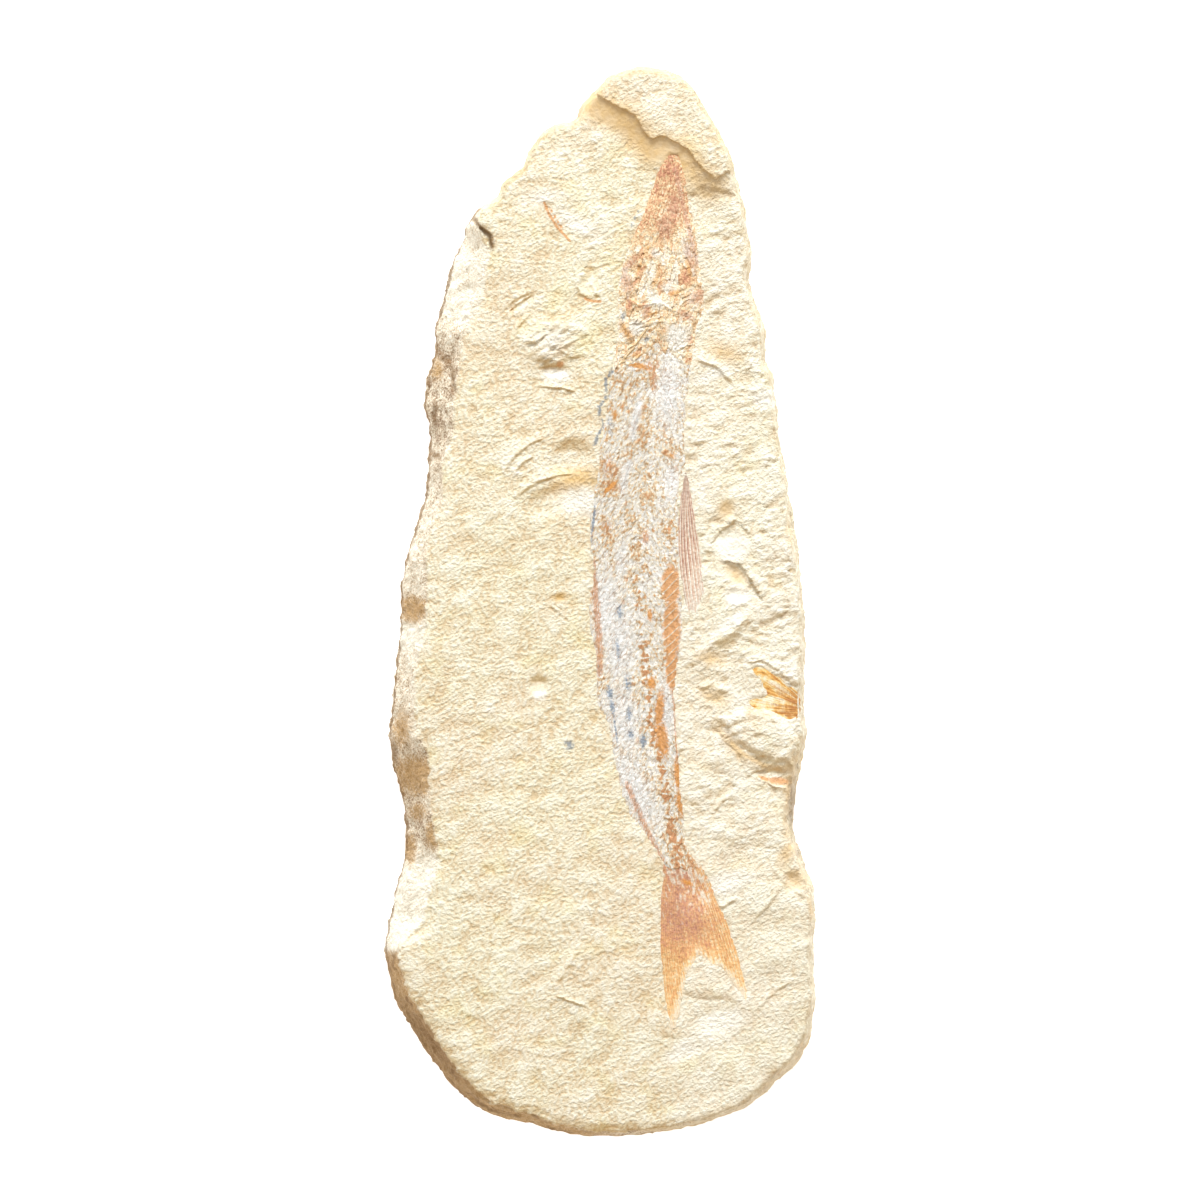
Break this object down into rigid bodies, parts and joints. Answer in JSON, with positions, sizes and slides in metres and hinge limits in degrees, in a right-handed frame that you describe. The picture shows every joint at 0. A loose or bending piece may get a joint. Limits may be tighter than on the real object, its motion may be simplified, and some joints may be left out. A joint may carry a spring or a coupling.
{
  "type": "fossil fish slab",
  "caption": "Loose slab of cream limestone with a slender fossil fish lying in its split face, from pointed skull to forked tail.",
  "frame": {"origin": "middle of the slab's box, on the flat back that it rests on", "axes": "+Y along the slab and the fish towards the snout, +Z out of the split face that shows the fish, +X to the right of the fish as it is seen from above with the snout away from the viewer"},
  "size_m": [0.108, 0.268, 0.0194],
  "materials": {
    "limestone": "matt, chalky, split along the bedding",
    "fossil_bone": "matt to satin mineralised bone, reddish brown",
    "fossil_film": "matt white and blue-grey mineral film with orange-brown bone",
    "fossil_fin_rays": "matt reddish brown to orange fin rays",
    "amber_fin": "matt yellow-orange fin rays"
  },
  "bodies": {
    "root": {"slab": "limestone", "skull": "fossil_bone", "body": "fossil_film", "dorsal_fin": "fossil_fin_rays", "tail_fin": "fossil_fin_rays", "fin_scrap": "amber_fin"}
  },
  "joints": []
}
